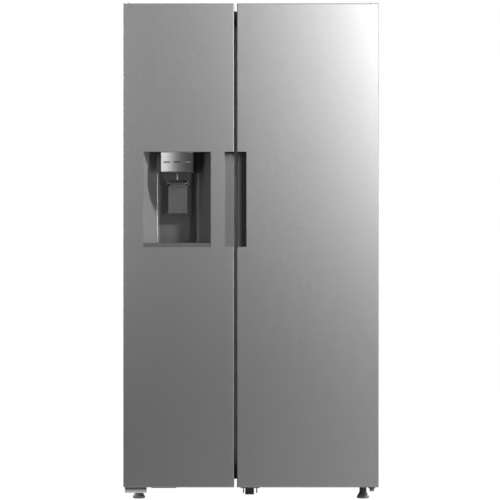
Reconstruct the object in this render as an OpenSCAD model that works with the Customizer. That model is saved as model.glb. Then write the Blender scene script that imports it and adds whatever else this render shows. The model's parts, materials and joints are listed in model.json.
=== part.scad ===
// Side-by-side refrigerator: freezer door with a dispenser on the left, fresh-food door on the right.
// Origin: middle of the footprint on the floor. +Z up, the doors face -Y, +X to the viewer's right.

/* [Overall] */
// Width across both doors
door_span = 908; // [860:2:1100]
// Height of the doors' top edge
door_top = 1773; // [1640:1:2130]
// Depth from the doors' front face to the back of the case
body_depth = 846; // [780:1:1020]

/* [Doors] */
// Height of the doors' bottom edge
door_bottom = 52; // [46:1:70]
// Gap between the two doors
door_gap = 10; // [8:1:14]
// Width of the freezer door
freezer_door_w = 394; // [370:2:440]
// Thickness of a door shell, front face to inner sheet
door_t = 78; // [70:1:94]
// Thickness of the steel door skin
skin_t = 1.5; // [1:0.5:2.5]
// Radius of the doors' vertical front edges
door_edge_r = 3; // [3:0.5:10]
// Thickness of the visible lip of each end cap
cap_lip = 3; // [2:1:6]
// Height of an end cap from its lip to its inner face
cap_h = 25; // [22:1:32]
// Space taken by the gasket between door and case
gasket_t = 12; // [8:1:16]
// Width of the gasket bead
gasket_w = 18; // [14:1:20]

/* [Hinges] */
// Door hinge axis from the door's outer side
hinge_in = 22; // [20:1:26]
// Door hinge axis behind the door's front face
hinge_back = 38; // [32:1:44]
// Radius of the door hinge pins
hinge_pin_r = 6; // [5:0.5:8]
// Thickness of the hinge plates
hinge_plate_t = 4; // [3:0.5:5]
// Radial clearance of a pin that turns in its bore
pin_fit = 0.06; // [0.02:0.01:0.1]

/* [Handle pockets] */
// Width of each handle pocket at the door's front face
pocket_w = 34; // [28:1:44]
// Depth of each handle pocket at the meeting edge
pocket_d = 40; // [34:1:50]
// Height of the handle pockets and of the dispenser opening
opening_h = 338; // [300:2:400]
// Height of the lower edge of the pockets and the dispenser
opening_z = 907; // [860:1:940]
// Wall of the moulded pockets and of the dispenser cavity
mould_t = 3; // [2:0.5:4]

/* [Dispenser] */
// Width of the dispenser opening
disp_w = 240; // [210:2:250]
// Distance from the freezer door's outer side to the dispenser's middle
disp_x = 191; // [185:1:200]
// Depth of the dispenser cavity
disp_d = 95; // [90:1:110]
// How much each side wall of the cavity leans in
disp_draft = 40; // [20:1:50]
// Width of the dispenser head
head_w = 116; // [100:2:130]
// Height of the dispenser head
head_h = 71; // [60:1:80]
// How far the head stands proud of the door
head_proud = 12; // [6:1:16]
// Width of the paddle
paddle_w = 68; // [50:2:80]
// Height of the paddle
paddle_h = 114; // [90:1:130]
// Height of the drip tray
tray_h = 14; // [10:1:18]

/* [Case] */
// Height of the underside of the case
case_bottom = 72; // [66:1:90]
// How far the case top lies below the doors' top edge
case_drop = 18; // [12:1:20]
// How far the case side lies inside the door side
case_inset = 3; // [0:1:6]
// Thickness of the painted steel sheet
sheet_t = 1.5; // [1:0.5:2]
// Thickness of the moulded liners
liner_t = 2; // [1.5:0.5:3]
// Insulated wall beside the freezer
freezer_wall = 55; // [50:1:70]
// Insulated wall beside the fresh-food space
fridge_wall = 47; // [45:1:60]
// Insulated wall between the two spaces
mullion_w = 56; // [50:1:70]
// Insulated wall at the back
rear_wall = 60; // [50:1:80]
// Insulated wall at the top
top_wall = 58; // [50:1:80]
// Insulated wall at the bottom
bottom_wall = 60; // [50:1:70]
// Depth of the machine compartment
machine_d = 260; // [240:5:300]
// Height of the machine compartment
machine_h = 218; // [210:2:240]

/* [Interior] */
// Distance from the case front to the shelves' front edge
shelf_front = 122; // [118:1:150]
// Thickness of the glass shelves
glass_t = 4; // [3:1:6]
// Wall of the drawers and bins
bin_t = 3; // [2:0.5:4]
// Height of each drawer
drawer_h = 190; // [160:1:195]
// Depth of the deep door bins from the door's inner sheet
bin_deep = 104; // [80:1:106]
// Depth of the shallow door bins
bin_shallow = 50; // [40:1:52]
// Number of glass shelves in the freezer
freezer_shelf_n = 4; // [3:1:5]
// Number of glass shelves in the fresh-food space
fridge_shelf_n = 5; // [3:1:6]

/* [Feet and rollers] */
// Distance of each front foot from the door's outer side
foot_in = 49; // [40:1:60]
// Radius of a foot's base
foot_r = 22; // [18:1:26]
// Radius of a rear roller
roller_r = 22; // [18:1:26]

/* [Hidden] */
$fn = 48;
// Overshoot of a cut past the face that it opens
cut = 1;
// Space between two bodies that move past each other
slack = 0.5;

// Depth planes: the footprint runs from the marks on the head to the back of the case
mark_t = 0.6;
y_front = (head_proud + mark_t - body_depth) / 2;
y_back = y_front + body_depth;
y_door = y_front + door_t;
y_case = y_door + gasket_t;

// Door widths: [left, right] of each door
door_f = [-door_span / 2, -door_span / 2 + freezer_door_w];
door_r = [door_f[1] + door_gap, door_span / 2];
mid_x = (door_f[1] + door_r[0]) / 2;
hinge_x = door_span / 2 - hinge_in;
hinge_y = y_front + hinge_back;

// Case and the two spaces inside it
case_x = [-door_span / 2 + case_inset, door_span / 2 - case_inset];
case_top = door_top - case_drop;
freezer_x = [case_x[0] + freezer_wall, mid_x - mullion_w / 2];
fridge_x = [mid_x + mullion_w / 2, case_x[1] - fridge_wall];
inner_z = [case_bottom + bottom_wall, case_top - top_wall];
inner_y = y_back - rear_wall;
machine_y = y_back - machine_d;
machine_top = case_bottom + machine_h;
step_y = machine_y - bottom_wall;
step_z = machine_top + bottom_wall;

// Shelves, drawers and bins
shelf_y = y_case + shelf_front;
cover_y = inner_y - 51;
drawer_low_z = inner_z[0] + 18;
drawer_up_z = step_z + 15;
shelf_low = drawer_up_z + drawer_h + 20;
bucket_h = 150;
bucket_z = inner_z[1] - 252;
shelf_top_freezer = bucket_z - 12;
shelf_top_fridge = inner_z[1] - 247;
freezer_levels = [for (i = [0:freezer_shelf_n - 1])
    shelf_low + (shelf_top_freezer - shelf_low) * i / (freezer_shelf_n - 1)];
fridge_levels = [for (i = [0:fridge_shelf_n - 1])
    shelf_low + (shelf_top_fridge - shelf_low) * i / (fridge_shelf_n - 1)];
shelf_bar = 14;
side_play = 6;
front_t = 8;
grip_reach = 12;

// Door liners: ribs that enter the two spaces, clear of the walls as the doors swing
rib_w = 12;
rib_d = 40;
rib_hinge_gap = 12;
rib_free_gap = 36;
rib_z = [inner_z[0] + 14, inner_z[1] - 14];
ribs_f = [freezer_x[0] + rib_hinge_gap, freezer_x[1] - rib_free_gap];
ribs_r = [fridge_x[0] + rib_free_gap, fridge_x[1] - rib_hinge_gap];
bin_h = 92;
bin_low_z = rib_z[0] + 30;
bin_mid_z = drawer_up_z + 40;
bin_deep_z = shelf_low + 30;
dairy_z = inner_z[1] - 160;
dairy_h = 120;
fridge_bin_n = 4;
fridge_bins_z = [for (i = [0:fridge_bin_n - 1])
    bin_deep_z + (dairy_z - bin_deep_z) * i / fridge_bin_n];

// Dispenser
disp_cx = door_f[0] + disp_x;
disp_z = [opening_z, opening_z + opening_h];
head_z = [disp_z[1] - head_h - 1, disp_z[1] - 1];
bulge_half = disp_w / 2 - 8;
bulge_y = y_front + disp_d + mould_t + 5;
funnel_z = bucket_z - 16;
funnel_y = shelf_y - 6;
chute_half = 36;
recess_w = 106;
recess_z = [head_z[0] - 154, head_z[0]];
recess_y = y_front + disp_d - 8;
paddle_z = recess_z[0] + 8 + paddle_h;
paddle_y = recess_y - 18;
paddle_pin_r = 2.5;

// Feet, rollers and machine parts
foot_x = door_span / 2 - foot_in;
foot_y = y_case + 27;
foot_stem_r = 6;
roller_x = door_span / 2 - 74;
roller_y = y_back - 90;
roller_w = 22;
axle_r = 4;
fork_t = 3;
fan_x = -40;
fan_y = (machine_y + y_back) / 2;
fan_z = case_bottom + 122;
fan_r = 62;
shaft_r = 3;
evap_fan_r = 44;
evap_fan_z = (freezer_levels[1] + freezer_levels[2]) / 2;
evap_x = (freezer_x[0] + freezer_x[1]) / 2;
valve_x = case_x[0] + 70;
valve_z = case_bottom + 150;
tube_r = 3.2;
compressor_x = case_x[1] - 190;

// ---------- Shapes that several pieces share ----------

// Box between two corners given as ranges
module block(x, y, z) translate([x[0], y[0], z[0]]) cube([x[1] - x[0], y[1] - y[0], z[1] - z[0]]);

// Plan outline raised between two heights
module slab(points, z) translate([0, 0, z[0]]) linear_extrude(z[1] - z[0]) polygon(points);

// Side outline, points as [y, z], stretched between two X places
module drawn_x(points, x) translate([x[0], 0, 0])
    rotate([90, 0, 90]) linear_extrude(x[1] - x[0]) polygon(points);

// Cylinder along X or along Y, between two places
module rod_x(x, y, z, r) translate([x[0], y, z]) rotate([0, 90, 0]) cylinder(r = r, h = x[1] - x[0]);
module rod_y(x, y, z, r) translate([x, y[0], z]) rotate([-90, 0, 0]) cylinder(r = r, h = y[1] - y[0]);
module rod_z(x, y, z, r) translate([x, y, z[0]]) cylinder(r = r, h = z[1] - z[0]);

function arc(c, r, a0, a1, n = 6) =
    [for (i = [0:n]) let (a = a0 + (a1 - a0) * i / n) c + r * [cos(a), sin(a)]];
function grow(range, by) = [range[0] - by, range[1] + by];
function around(c, half) = [c - half, c + half];

// Plan of a door with rounded front edges
function door_plan(x, y, r) = concat([[x[0], y[1]]], arc([x[0] + r, y[0] + r], r, 180, 270),
    arc([x[1] - r, y[0] + r], r, 270, 360), [[x[1], y[1]]]);

// Everything inside a door's skin, as far back as y_end
module door_inside(x, z, y_end)
    slab(door_plan(grow(x, -skin_t), [y_front + skin_t, y_end], door_edge_r - skin_t), z);

// Plan of a handle pocket on the meeting edge at x, reaching to the side dir. The larger offset is
// the pocket's outer wall. The curved end is the undercut that the fingers pull on.
pocket_curl = 15;
function pocket_plan(x, dir, o) =
    let (c = [pocket_w - 4, pocket_d - pocket_curl - 5])
    [for (p = concat([[-cut, -cut], [pocket_w + 4 * o, -cut], [pocket_w + 4 * o, 4]],
        arc(c, pocket_curl + o, -45, 90), [[-cut, pocket_d + o]]))
        [x + dir * p[0], y_front + p[1]]];

// Smooth corner that starts at a, ends at b and points to c
function corner(a, c, b, n = 5) =
    [for (i = [0:n]) let (t = i / n) pow(1 - t, 2) * a + 2 * t * (1 - t) * c + pow(t, 2) * b];

// Plan of the dispenser cavity, wider at the front, with rounded corners at the back
corner_reach = 14;
function cavity_plan(o, y0) =
    let (lean = disp_draft / disp_d, half = disp_w / 2 + o, back = half - disp_draft,
        bend = back + lean * corner_reach, y1 = y_front + disp_d + o, y_bend = y1 - corner_reach)
    concat([[disp_cx - half - lean * cut, y0], [disp_cx + half + lean * cut, y0]],
        corner([disp_cx + bend, y_bend], [disp_cx + back, y1], [disp_cx + back - corner_reach, y1]),
        corner([disp_cx - back + corner_reach, y1], [disp_cx - back, y1], [disp_cx - bend, y_bend]));

// Side outline of the ice chute from its funnel down to the head
function chute_side(o) =
    [[bulge_y + 20 - o, funnel_z + (o > 0 ? 0 : cut)], [funnel_y - mould_t + o, funnel_z + (o > 0 ? 0 : cut)],
     [funnel_y - mould_t + o, funnel_z - 34 - o], [recess_y - 2 + o, disp_z[1] - (o > 0 ? 0 : cut)],
     [recess_y - 60 - o, disp_z[1] - (o > 0 ? 0 : cut)], [recess_y - 60 - o, disp_z[1] + 44]];

// Side outline of a liner; o moves it outwards
function liner_side(o) =
    [[y_case - (o > 0 ? 0 : cut), inner_z[0] - o], [step_y + o, inner_z[0] - o], [step_y + o, step_z - o],
     [inner_y + o, step_z - o], [inner_y + o, inner_z[1] + o], [y_case - (o > 0 ? 0 : cut), inner_z[1] + o]];

// ---------- Case ----------

module outer_case() color("silver") difference() {
    block(case_x, [y_case, y_back], [case_bottom, case_top]);
    block(grow(case_x, -sheet_t), [y_case + sheet_t, y_back + cut], [case_bottom - cut, case_top - sheet_t]);
    block([freezer_x[0] - liner_t, fridge_x[1] + liner_t], [y_case - cut, y_back],
        [case_bottom - cut, inner_z[1] + liner_t]);
}

module rear_panel() color("silver")
    block(grow(case_x, -sheet_t), [y_back - sheet_t, y_back], [machine_top, case_top - sheet_t]);

module base_pan() color("dimgray") {
    floor_x = grow(case_x, -sheet_t);
    block(floor_x, [y_case + sheet_t, y_back], [case_bottom, case_bottom + sheet_t]);
    block(floor_x, [machine_y - sheet_t, machine_y], [case_bottom, machine_top]);
    block(floor_x, [machine_y - sheet_t, y_back], [machine_top - sheet_t, machine_top]);
    block([freezer_x[0] - liner_t, fridge_x[1] + liner_t], [y_case, y_case + sheet_t],
        [case_bottom, inner_z[0] - liner_t]);
}

module cabinet_foam() color("khaki") difference() {
    block(grow(case_x, -sheet_t), [y_case + sheet_t, y_back - sheet_t],
        [case_bottom + sheet_t, case_top - sheet_t]);
    block(case_x, [machine_y - sheet_t, y_back], [case_bottom, machine_top]);
    for (x = [freezer_x, fridge_x]) drawn_x(liner_side(liner_t), grow(x, liner_t));
}

module liner(x) difference() {
    drawn_x(liner_side(liner_t), grow(x, liner_t));
    drawn_x(liner_side(0), x);
}
module freezer_liner() color("white") liner(freezer_x);
module fridge_liner() color("white") liner(fridge_x);

module front_mullion() color("silver")
    block([freezer_x[1] + liner_t, fridge_x[0] - liner_t], [y_case, y_case + sheet_t],
        [inner_z[0] - liner_t, inner_z[1] + liner_t]);

// ---------- Hinges ----------
arm_gap = 1;
arm_z = [door_top + arm_gap, door_top + arm_gap + hinge_plate_t];
arm_half = 12;
plate_x = [hinge_x - 72, hinge_x + 14];
plate_y = [y_case + 2, y_case + 112];
top_screws = [[hinge_x - 56, y_case + 30], [hinge_x - 6, y_case + 30], [hinge_x - 30, y_case + 88]];
low_plate_z = [case_bottom - hinge_plate_t, case_bottom];
low_arm_z = [door_bottom - 3 - hinge_plate_t - 1, door_bottom - 3];
low_screws = [[hinge_x - 52, y_case + 66], [hinge_x + 4, y_case + 66]];
screw_r = 3;
screw_head = 4;

// Plan of a hinge arm: straight sides and a round end about the pin
function arm_plan(y_end) = concat([[hinge_x + arm_half, y_end], [hinge_x - arm_half, y_end]],
    arc([hinge_x, hinge_y], arm_half, 180, 360, 12));

module top_hinge() {
    difference() {
        union() {
            block(plate_x, plate_y, [case_top, case_top + hinge_plate_t]);
            block([hinge_x - arm_half, hinge_x + arm_half], [y_case + 2, y_case + 6], [case_top, arm_z[1]]);
            slab(arm_plan(y_case + 6), arm_z);
        }
        for (p = top_screws) rod_z(p[0], p[1], [case_top - cut, case_top + 9], screw_r + pin_fit);
    }
    rod_z(hinge_x, hinge_y, [door_top - cap_h + 4, arm_z[0]], hinge_pin_r);
}
module top_hinges() color("gray") for (m = [0, 1]) mirror([m, 0, 0]) top_hinge();

module hinge_cover() {
    outer_x = [plate_x[0] - 3, plate_x[1] + 4];
    outer_y = [y_case + 8, plate_y[1] + 3];
    difference() {
        block(outer_x, outer_y, [case_top, arm_z[1] + 4]);
        block(grow(outer_x, -2), grow(outer_y, -2), [case_top - cut, arm_z[1] + 2]);
        block(grow(plate_x, 0.2), [y_case, y_case + 20], [case_top - cut, case_top + hinge_plate_t + 0.2]);
    }
}
module hinge_covers() color("silver") for (m = [0, 1]) mirror([m, 0, 0]) hinge_cover();

module bottom_hinge() {
    difference() {
        union() {
            block(plate_x, [y_case, plate_y[1]], low_plate_z);
            block([hinge_x - arm_half, hinge_x + arm_half], [y_case, y_case + 4], [low_arm_z[0], case_bottom]);
            slab(arm_plan(y_case + 4), low_arm_z);
            rod_z(foot_x, foot_y, [case_bottom - 16, case_bottom], 14);
        }
        rod_z(foot_x, foot_y, [0, case_bottom + cut], foot_stem_r + pin_fit);
        for (p = low_screws) rod_z(p[0], p[1], [case_bottom - 9, case_bottom + cut], screw_r + pin_fit);
    }
    rod_z(hinge_x, hinge_y, [low_arm_z[1], door_bottom + cap_h - 4], hinge_pin_r);
}
module bottom_hinges() color("silver") {
    for (m = [0, 1]) mirror([m, 0, 0]) bottom_hinge();
    // Skirt in front of the left foot
    block([-hinge_x - 18, -hinge_x + 60], [hinge_y - arm_half - 4, hinge_y - arm_half],
        [door_bottom - 22.5, low_arm_z[1]]);
    block([-hinge_x - 12, -hinge_x + 12], [hinge_y - arm_half - 2, hinge_y], low_arm_z);
    // Pin end under the right arm
    rod_z(hinge_x, hinge_y, [low_arm_z[0] - 10, low_arm_z[0]], hinge_pin_r + 2);
}

module screw(up) {
    translate([0, 0, up ? 0 : -screw_head]) cylinder(r = 2 * screw_r, h = screw_head, $fn = 6);
    translate([0, 0, up ? -hinge_plate_t : 0]) cylinder(r = screw_r, h = hinge_plate_t);
}
module hinge_screws() color("gray") for (m = [0, 1]) mirror([m, 0, 0]) {
    for (p = top_screws) translate([p[0], p[1], case_top + hinge_plate_t]) screw(true);
    for (p = low_screws) translate([p[0], p[1], low_plate_z[0]]) screw(false);
}

// ---------- Doors ----------
door_z = [door_bottom, door_top];
pocket_z = [opening_z, opening_z + opening_h];

module door_skin(x, meet, dir) difference() {
    slab(door_plan(x, [y_front, y_door], door_edge_r), grow(door_z, -cap_lip));
    door_inside(x, grow(door_z, cut), y_door + cut);
    block([min(meet - cut * dir, meet + dir * pocket_w), max(meet - cut * dir, meet + dir * pocket_w)],
        [y_front - cut, y_front + pocket_d + mould_t], pocket_z);
}

module pocket_shell(x, meet, dir) difference() {
    intersection() {
        door_inside(x, grow(pocket_z, mould_t), y_door);
        slab(pocket_plan(meet, dir, mould_t), grow(pocket_z, mould_t));
    }
    slab(pocket_plan(meet, dir, 0), pocket_z);
}

module foam_core(x, meet, dir, z) difference() {
    door_inside(x, z, y_door - liner_t);
    slab(pocket_plan(meet, dir, mould_t), grow(pocket_z, mould_t));
}

// Inner sheet of a door
module inner_sheet(x) difference() {
    door_inside(x, grow(door_z, -cap_h), y_door);
    door_inside(grow(x, cut), grow(door_z, cut), y_door - liner_t);
}

// Raised frame on the inner sheet, which the bins hang in
module bin_frame(ribs) difference() {
    block(ribs, [y_door, y_door + rib_d], rib_z);
    block(grow(ribs, -rib_w), [y_door - cut, y_door + rib_d + cut], grow(rib_z, -rib_w));
}

// Magnetic gasket: a closed frame on the door's inner sheet with a bellows groove
module gasket(x) difference() {
    block(x, [y_door, y_case - 0.3], grow(gasket_z, 0));
    block(grow(x, -gasket_w), [y_door - cut, y_case], grow(gasket_z, -gasket_w));
    difference() {
        block(grow(x, cut), [y_door + 4, y_door + 6], grow(gasket_z, cut));
        block(grow(x, -3), [y_door, y_case], grow(gasket_z, -3));
    }
}
gasket_free = 4;
gasket_hinge = hinge_in + 2;
gasket_z = [inner_z[0] - liner_t - gasket_w - 10, inner_z[1] + liner_t + gasket_w + 8];

// End caps at the top and the bottom, each with the bore that turns on its hinge pin
module end_caps(x, pin_x) difference() {
    union() {
        for (z = [[door_bottom, door_bottom + cap_lip], [door_top - cap_lip, door_top]])
            slab(door_plan(x, [y_front, y_door], door_edge_r), z);
        for (z = [[door_bottom + cap_lip, door_bottom + cap_h], [door_top - cap_h, door_top - cap_lip]])
            door_inside(x, z, y_door);
    }
    rod_z(pin_x, hinge_y, [door_bottom - cut, door_bottom + cap_h - 2], hinge_pin_r + pin_fit);
    rod_z(pin_x, hinge_y, [door_top - cap_h + 2, door_top + cut], hinge_pin_r + pin_fit);
}

// Open bin that hangs between the ribs on the inner sheet
module bin(ribs, depth, z, h) difference() {
    block(grow(ribs, -rib_w), [y_door, y_door + depth], [z, z + h]);
    block(grow(ribs, -rib_w - bin_t), [y_door + bin_t, y_door + depth - bin_t], [z + bin_t, z + h + cut]);
}

// Freezer door
module freezer_skin() color("lightgray") difference() {
    door_skin(door_f, door_f[1], -1);
    block(around(disp_cx, disp_w / 2), [y_front - cut, y_front + skin_t + cut], disp_z);
}
module freezer_handle() color("lightgray") pocket_shell(door_f, door_f[1], -1);
module housing_space() slab(cavity_plan(mould_t, y_front + skin_t), grow(disp_z, mould_t));
module chute_space() drawn_x(chute_side(mould_t), around(disp_cx, chute_half + mould_t));
module bulge(y, o) block(around(disp_cx, bulge_half - o), y, [disp_z[0] - 12 + o, funnel_z - 40 - o]);

// Foam in four blocks: below, beside and above the dispenser, and behind it in the bulge
foam_joint = 0.2;
foam_levels = [door_bottom + cap_h, pocket_z[0] - mould_t, pocket_z[1] + mould_t, door_top - cap_h];
module freezer_door_foam() color("khaki") difference() {
    union() {
        for (i = [0:2]) foam_core(door_f, door_f[1], -1,
            [foam_levels[i] + (i > 0 ? foam_joint : 0), foam_levels[i + 1]]);
        bulge([y_door - liner_t + foam_joint, bulge_y - liner_t], liner_t);
    }
    housing_space();
    chute_space();
}
module freezer_door_liner() color("white") difference() {
    union() {
        inner_sheet(door_f);
        bulge([y_door - liner_t, bulge_y], 0);
    }
    bulge([y_door - liner_t - cut, bulge_y - liner_t], liner_t);
    housing_space();
    chute_space();
}
module freezer_bin_frame() color("white") difference() {
    bin_frame(ribs_f);
    bulge([y_door - cut, bulge_y], 0);
}
module freezer_gasket() color("gainsboro") gasket([door_f[0] + gasket_hinge, door_f[1] - gasket_free]);
module freezer_end_caps() color("gray") {
    end_caps(door_f, -hinge_x);
    // Cable guard under the door
    block([door_f[0] + 99, door_f[0] + 188], [y_front + 17, y_door - 10], [door_bottom - 4, door_bottom]);
}
module freezer_bins() color("white") {
    bin(ribs_f, bin_shallow, bin_low_z, bin_h);
    bin(ribs_f, bin_shallow, bin_mid_z, bin_h);
    bin(ribs_f, bin_deep, bin_deep_z, bin_h);
    bin(ribs_f, bin_shallow, funnel_z + 60, bin_h);
}

// Dispenser in the freezer door
module dispenser_housing() color("dimgray") {
    difference() {
        housing_space();
        slab(cavity_plan(0, y_front - cut), disp_z);
        drawn_x(chute_side(0), around(disp_cx, chute_half));
        drawn_x(chute_side(mould_t), around(disp_cx, chute_half + mould_t));
    }
    // Dark frame behind the paddle, and the two ears that carry its pin
    block(around(disp_cx, recess_w / 2), [recess_y + 2, y_front + disp_d], recess_z);
    for (s = [-1, 1]) difference() {
        block(around(disp_cx + s * (paddle_w / 2 + 3), 2), [paddle_y - 6, recess_y + 2],
            [paddle_z - 12, paddle_z + 4]);
        rod_x(around(disp_cx + s * (paddle_w / 2 + 3), 5), paddle_y, paddle_z - 6, paddle_pin_r + pin_fit);
    }
}

// Plan of the head: a bowed front between straight sides; o is the wall cut away inside
head_bow = 10;
head_arc_r = (pow(head_w / 2, 2) + pow(head_bow, 2)) / (2 * head_bow);
function head_plan(o) =
    let (c = [disp_cx, y_front - head_proud + head_arc_r], a = asin((head_w / 2 - o) / (head_arc_r - o)))
    concat([[disp_cx + head_w / 2 - o, recess_y], [disp_cx - head_w / 2 + o, recess_y]],
        arc(c, head_arc_r - o, 270 - a, 270 + a, 24));
module dispenser_head() color("silver") difference() {
    slab(head_plan(0), head_z);
    block(around(disp_cx, chute_half), [recess_y - 60, recess_y - 2], grow(head_z, cut));
}

// Three touch marks set on the head's bowed front
mark_w = 24;
mark_h = 4;
function mark_plan(i) =
    let (c = [disp_cx, y_front - head_proud + head_arc_r], step = 36 / head_arc_r * 180 / PI,
        half = mark_w / head_arc_r * 90 / PI)
    concat(arc(c, head_arc_r + mark_t, 270 + step * i - half, 270 + step * i + half, 4),
        arc(c, head_arc_r - mark_t, 270 + step * i + half, 270 + step * i - half, 4));
module dispenser_marks() color("dimgray") difference() {
    for (i = [-1:1]) slab(mark_plan(i), around((head_z[0] + head_z[1]) / 2, mark_h / 2));
    slab(head_plan(0), head_z);
}

// Ice chute from the funnel to the head, and the water nozzle in front of it
nozzle_y = recess_y - 66;
module dispenser_spouts() color("white") {
    difference() {
        drawn_x(chute_side(mould_t), around(disp_cx, chute_half + mould_t));
        drawn_x(chute_side(0), around(disp_cx, chute_half));
    }
    difference() {
        rod_z(disp_cx, nozzle_y, [head_z[0] - 26, head_z[0]], tube_r);
        rod_z(disp_cx, nozzle_y, [head_z[0] - 27, head_z[0] - 2], tube_r - 1.2);
    }
}

module dispenser_paddle() color("gray") {
    difference() {
        block(around(disp_cx, paddle_w / 2), [paddle_y - 2, paddle_y + 2], [paddle_z - paddle_h, paddle_z - 6]);
        block(around(disp_cx, paddle_w / 2 - 8), [paddle_y - 3, paddle_y - 1],
            [paddle_z - paddle_h + 8, paddle_z - 20]);
        // Corners cut back round the spring
        for (s = [-1, 1]) block(around(disp_cx + s * paddle_w / 2, 6), [paddle_y - 3, paddle_y + 3],
            [paddle_z - 14, paddle_z]);
    }
    rod_x(around(disp_cx, paddle_w / 2 - 6), paddle_y, paddle_z - 6, 4);
    rod_x(around(disp_cx, paddle_w / 2 + 5), paddle_y, paddle_z - 6, paddle_pin_r);
}

// Torsion spring round the paddle's pin: close turns drawn as one ribbed sleeve
spring_turns = 4;
wire_d = 0.9;
function coil_side() = concat([for (i = [0:2 * spring_turns])
    [paddle_pin_r + 1.2 + (i % 2) * wire_d * 0.6 + wire_d * 0.4, i * wire_d / 2]],
    [[paddle_pin_r + 1, spring_turns * wire_d], [paddle_pin_r + 1, 0]]);
module paddle_spring() color("silver") for (s = [-1, 1])
    translate([disp_cx + s * (paddle_w / 2 - 2.8) - spring_turns * wire_d / 2, paddle_y, paddle_z - 6])
        rotate([0, 90, 0]) rotate_extrude() polygon(coil_side());

module drip_tray() color("gray") {
    inset = 1.5;
    floor_t = 2;
    difference() {
        slab(cavity_plan(-inset, y_front + skin_t), [disp_z[0] + slack, disp_z[0] + tray_h]);
        slab(cavity_plan(-inset - 4, y_front + 6), [disp_z[0] + slack + floor_t, disp_z[0] + tray_h + cut]);
    }
    // Grille bars across the tray
    intersection() {
        slab(cavity_plan(-inset - 2, y_front + 5), [disp_z[0] + tray_h - 3, disp_z[0] + tray_h]);
        for (i = [-9:9]) block(around(disp_cx + 11 * i, 2.5), [y_front + 5, y_front + disp_d],
            [disp_z[0] + tray_h - 3, disp_z[0] + tray_h]);
    }
}

// Fresh-food door
module fridge_skin() color("lightgray") door_skin(door_r, door_r[0], 1);
module fridge_handle() color("dimgray") pocket_shell(door_r, door_r[0], 1);
module fridge_door_foam() color("khaki") foam_core(door_r, door_r[0], 1, grow(door_z, -cap_h));
module fridge_door_liner() color("white") {
    inner_sheet(door_r);
    bin_frame(ribs_r);
}
module fridge_gasket() color("gainsboro") gasket([door_r[0] + gasket_free, door_r[1] - gasket_hinge]);
module fridge_end_caps() color("gray") end_caps(door_r, hinge_x);

dairy_x = grow(ribs_r, -rib_w);
lid_y = y_door + bin_deep + slack;
lid_pin_r = 2;
lid_z = dairy_z + dairy_h - 6;
module fridge_bins() color("white") {
    bin(ribs_r, bin_shallow, bin_low_z, bin_h);
    bin(ribs_r, bin_shallow, bin_mid_z, bin_h);
    for (z = fridge_bins_z) bin(ribs_r, bin_deep, z, bin_h);
    // Dairy box: open towards the space, where its lid closes it
    difference() {
        block(dairy_x, [y_door, y_door + bin_deep], [dairy_z, dairy_z + dairy_h]);
        block(grow(dairy_x, -bin_t), [y_door + bin_t, y_door + bin_deep + cut],
            [dairy_z + bin_t, dairy_z + dairy_h - bin_t]);
    }
    for (s = [0, 1]) difference() {
        block(around(dairy_x[s] + (s ? -2 : 2), 2), [y_door + bin_deep, lid_y + 6], [lid_z - 6, lid_z + 6]);
        rod_x(around(dairy_x[s], 6), lid_y + 2, lid_z, lid_pin_r + pin_fit);
    }
}
module dairy_lid() color("lightcyan") {
    lid_x = grow(dairy_x, -5);
    block(lid_x, [lid_y, lid_y + 4], [dairy_z + 4, lid_z]);
    rod_x(lid_x, lid_y + 2, lid_z, 3);
    rod_x(grow(lid_x, 4), lid_y + 2, lid_z, lid_pin_r);
    block(around((lid_x[0] + lid_x[1]) / 2, 40), [lid_y + 4, lid_y + 12], [dairy_z + 12, dairy_z + 18]);
}

// ---------- Shelves and drawers ----------
module shelf_glass(x, z, y_end) block(grow(x, -2), [shelf_y + shelf_bar, y_end], [z, z + glass_t]);
module glass_shelves() color("lightcyan") {
    for (z = freezer_levels) shelf_glass(freezer_x, z, cover_y - 3);
    for (z = fridge_levels) shelf_glass(fridge_x, z, inner_y - 24);
}

// Front bar, rear bar and wall ledges of each shelf
module shelf_frame(x, z, y_end) {
    block(grow(x, -2), [shelf_y, shelf_y + shelf_bar], [z - 10, z + glass_t + 2]);
    for (s = [0, 1]) block(s ? [x[1] - 10, x[1]] : [x[0], x[0] + 10], [shelf_y + shelf_bar, y_end], [z - 8, z]);
}
// Runner pair that a drawer slides on
module runners(x, z, y_end) for (s = [0, 1])
    block(s ? [x[1] - 18, x[1]] : [x[0], x[0] + 18], [shelf_y + 4, y_end], [z - 8, z - slack]);
module shelf_frames() color("whitesmoke") {
    for (z = freezer_levels) shelf_frame(freezer_x, z, cover_y - 3);
    for (z = fridge_levels) shelf_frame(fridge_x, z, inner_y - 24);
    for (x = [freezer_x, fridge_x]) {
        runners(x, drawer_low_z, step_y - 10);
        runners(x, drawer_up_z, cover_y - 12);
    }
}

// Open drawer with a thick front and a grip along its upper edge
module drawer(x, y_end, z, h) {
    y = [shelf_y + 3, y_end];
    difference() {
        block(grow(x, -side_play), y, [z, z + h]);
        block(grow(x, -side_play - bin_t), [y[0] + front_t, y[1] - bin_t], [z + bin_t, z + h + cut]);
    }
    block(grow(x, -side_play - 30), [y[0] - grip_reach, y[0]], [z + h - 22, z + h - 16]);
}
module freezer_drawer_upper() color("lightcyan") drawer(freezer_x, cover_y - 12, drawer_up_z, drawer_h);
module freezer_drawer_lower() color("lightcyan") drawer(freezer_x, step_y - 10, drawer_low_z, drawer_h);
module crisper_upper() color("lightcyan") drawer(fridge_x, cover_y - 12, drawer_up_z, drawer_h);
module crisper_lower() color("lightcyan") drawer(fridge_x, step_y - 10, drawer_low_z, drawer_h);

module ice_bucket() color("white") difference() {
    drawer(freezer_x, cover_y - 12, bucket_z, bucket_h);
    // Outlet over the door's funnel
    block(around(disp_cx, 34), [shelf_y, shelf_y + 60], [bucket_z - cut, bucket_z + 40]);
}

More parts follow.
